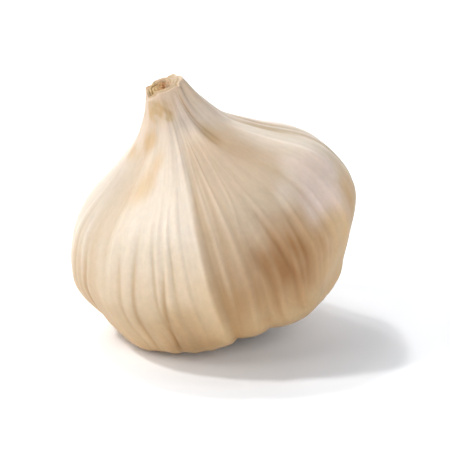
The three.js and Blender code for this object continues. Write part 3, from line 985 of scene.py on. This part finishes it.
def dried_leaf():
    """Inner leaves dried brown: pale ochre and fibrous where cut, red-brown down at the heart,
    with painted shade in the gaps between them.
    """
    made, tree = material("dried_inner_leaf")
    deep = node(tree, "ShaderNodeAttribute", attribute_name="deep").outputs["Fac"]
    across = node(tree, "ShaderNodeAttribute", attribute_name="across").outputs["Fac"]
    place = node(tree, "ShaderNodeTexCoord").outputs["Object"]
    fibre = node(
        tree, "ShaderNodeTexNoise", {"Vector": place, "Scale": 1 / (0.5 * MM), "Detail": 4.0}
    )
    right = node(
        tree,
        "ShaderNodeMapRange",
        {"Value": across, "From Min": -1.0, "From Max": 0.9, "To Min": 0.0, "To Max": 1.0},
    )
    tops = node(
        tree,
        "ShaderNodeMix",
        {FACTOR: right.outputs["Result"], A: linear("#C2A679"), B: linear("#B98A5E")},
        data_type="RGBA",
    )
    far_right = node(
        tree,
        "ShaderNodeMapRange",
        {"Value": across, "From Min": 0.9, "From Max": 1.5, "To Min": 0.0, "To Max": 1.0},
    )
    tops = node(
        tree,
        "ShaderNodeMix",
        {FACTOR: far_right.outputs["Result"], A: tops.outputs[RESULT], B: linear("#C4A584")},
        data_type="RGBA",
    )
    # Towards the gaps and the heart it turns dark red-brown: painted shade in the gaps.
    colour = node(
        tree,
        "ShaderNodeMix",
        {FACTOR: deep, A: tops.outputs[RESULT], B: linear("#74472B")},
        data_type="RGBA",
    )
    uneven = node(
        tree,
        "ShaderNodeMapRange",
        {
            "Value": fibre.outputs["Fac"],
            "From Min": 0.3,
            "From Max": 0.7,
            "To Min": 0.8,
            "To Max": 1.12,
        },
    )
    shaded = node(
        tree,
        "ShaderNodeVectorMath",
        {0: colour.outputs[RESULT], 1: uneven.outputs["Result"]},
        operation="MULTIPLY",
    )
    bump = node(
        tree,
        "ShaderNodeBump",
        {"Height": fibre.outputs["Fac"], "Strength": 0.4, "Distance": 0.1 * MM},
    )
    shader = node(
        tree,
        "ShaderNodeBsdfPrincipled",
        {
            "Base Color": shaded.outputs["Vector"],
            "Roughness": 0.75,
            "Specular IOR Level": 0.25,
            "Normal": bump.outputs["Normal"],
        },
    )
    node(tree, "ShaderNodeOutputMaterial", {"Surface": shader.outputs["BSDF"]})
    return made


def corky_plate():
    """Corky root plate: rough grey-brown bark-like tissue, darker where its grain sinks."""
    made, tree = material("corky_root_plate")
    place = node(tree, "ShaderNodeTexCoord").outputs["Object"]
    grain = node(
        tree, "ShaderNodeTexNoise", {"Vector": place, "Scale": 1 / (0.9 * MM), "Detail": 5.0}
    )
    ramp = node(tree, "ShaderNodeValToRGB", {"Fac": grain.outputs["Fac"]})
    elements = ramp.color_ramp.elements
    elements[0].position, elements[0].color = 0.35, linear("#523C23")
    elements[1].position, elements[1].color = 0.65, linear("#947B58")
    bump = node(
        tree,
        "ShaderNodeBump",
        {"Height": grain.outputs["Fac"], "Strength": 0.5, "Distance": 0.2 * MM},
    )
    shader = node(
        tree,
        "ShaderNodeBsdfPrincipled",
        {
            "Base Color": ramp.outputs["Color"],
            "Roughness": 0.9,
            "Specular IOR Level": 0.2,
            "Normal": bump.outputs["Normal"],
        },
    )
    node(tree, "ShaderNodeOutputMaterial", {"Surface": shader.outputs["BSDF"]})
    return made


def dry_root():
    """Dry root fibres, straw-coloured and matt, browner towards the broken tips."""
    made, tree = material("dry_root_fibre")
    down = node(tree, "ShaderNodeAttribute", attribute_name="down").outputs["Fac"]
    tone = node(tree, "ShaderNodeAttribute", attribute_name="tone").outputs["Fac"]
    straw = node(
        tree,
        "ShaderNodeMix",
        {FACTOR: tone, A: linear("#AB9366"), B: linear("#7F6640")},
        data_type="RGBA",
    )
    colour = node(
        tree,
        "ShaderNodeMix",
        {FACTOR: down, A: straw.outputs[RESULT], B: linear("#6D502F")},
        data_type="RGBA",
    )
    shader = node(
        tree,
        "ShaderNodeBsdfPrincipled",
        {"Base Color": colour.outputs[RESULT], "Roughness": 0.8, "Specular IOR Level": 0.25},
    )
    node(tree, "ShaderNodeOutputMaterial", {"Surface": shader.outputs["BSDF"]})
    return made


# ------------------------------------------------------------------ the pieces

for piece, finish, stands_for, slot in [
    (make_skin(), papery_skin(), "bulb", "papery_skin"),
    (make_neck_leaves(), dried_leaf(), "neck_core", "dried_leaf"),
    (make_root_disc(), corky_plate(), "root_plate", "dry_root"),
    (make_root_stubs(), dry_root(), "root_plate", "dry_root"),
]:
    piece.data.materials.clear()
    piece.data.materials.append(finish)
    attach(piece, "root")
    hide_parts(stands_for)

# ------------------------------------------------------------------ table, lamps and camera

TABLE_ACROSS = 6  # metres
LAMP_AIM = 25  # height of the bulb's middle

bpy.ops.object.select_all(action="DESELECT")
bpy.ops.mesh.primitive_plane_add(size=TABLE_ACROSS, location=(0, 0, 0))
table = bpy.context.object
table.name = "table"
white, tree = material("white_table")
diffuse = node(tree, "ShaderNodeBsdfDiffuse", {"Color": (0.96, 0.96, 0.96, 1)})
node(tree, "ShaderNodeOutputMaterial", {"Surface": diffuse.outputs["BSDF"]})
table.data.materials.append(white)


def lamp(name, direction, size, power, colour=(1, 1, 1)):
    """A soft square lamp, a metre away, that shines on the bulb's middle from a direction."""
    data = bpy.data.lights.new(name, "AREA")
    data.shape = "SQUARE"
    data.size = size
    data.energy = power
    data.color = colour
    made = bpy.data.objects.new(name, data)
    bpy.context.collection.objects.link(made)
    towards = Vector(direction).normalized()
    made.location = Vector((0, 0, LAMP_AIM * MM)) + towards
    made.rotation_euler = towards.to_track_quat("Z", "Y").to_euler()


# Small lamps overhead and to the left throw the shadow to the right. Each has a direction, a size
# in metres and a power in watts.
lamp("overhead", (-0.33, 0.40, 1.0), 0.08, 2.35)
lamp("overhead_back", (-0.33, 0.65, 1.0), 0.10, 1.3)
lamp("overhead_near", (-0.25, 0.15, 1.0), 0.12, 0.65)
lamp("overhead_left", (-0.80, 0.0, 1.0), 0.09, 4.0)
lamp("overhead_front", (-0.50, -0.50, 1.0), 0.30, 0.85)
# Large ones, a little cooler, fill it in.
COOL = (0.93, 0.98, 1.05)
lamp("left", (-0.85, -0.20, 0.60), 0.5, 2.3)
lamp("back_left", (-0.60, 0.60, 0.50), 0.8, 3.1, COOL)
lamp("back_right", (0.70, 0.60, 0.50), 0.8, 0.9, COOL)
lamp("back", (0.0, 0.90, 0.45), 1.0, 6.2, COOL)
lamp("front", (0.0, -0.90, 0.45), 0.8, 1.8, COOL)
lamp("front_right", (0.50, -0.80, 0.50), 0.8, 3.2, COOL)
lamp("front_low", (0.0, -0.90, 0.10), 1.0, 3.0, COOL)

world = bpy.data.worlds.new("soft_white")
world.use_nodes = True
world.node_tree.nodes["Background"].inputs["Color"].default_value = (0.9, 0.97, 1.06, 1)
world.node_tree.nodes["Background"].inputs["Strength"].default_value = 0.03
bpy.context.scene.world = world
bpy.context.scene.view_settings.view_transform = "Standard"

# The camera looks along +Y and down, from CAMERA_AWAY, at a point by the bulb's middle.
CAMERA_DOWN = math.radians(21.12)
CAMERA_AWAY = 480
FRAME_PIXELS = 450
FOCAL_PIXELS = 2280
SENSOR = 36
LOOKS_AT = Vector((2.35, 0.69, 23.41))
view_direction = Vector((0, math.cos(CAMERA_DOWN), -math.sin(CAMERA_DOWN)))
camera_data = bpy.data.cameras.new("camera")
camera_data.sensor_width = SENSOR
camera_data.lens = FOCAL_PIXELS * SENSOR / FRAME_PIXELS
camera = bpy.data.objects.new("camera", camera_data)
bpy.context.collection.objects.link(camera)
camera.location = (LOOKS_AT - view_direction * CAMERA_AWAY) * MM
camera.rotation_euler = (-view_direction).to_track_quat("Z", "Y").to_euler()
bpy.context.scene.camera = camera
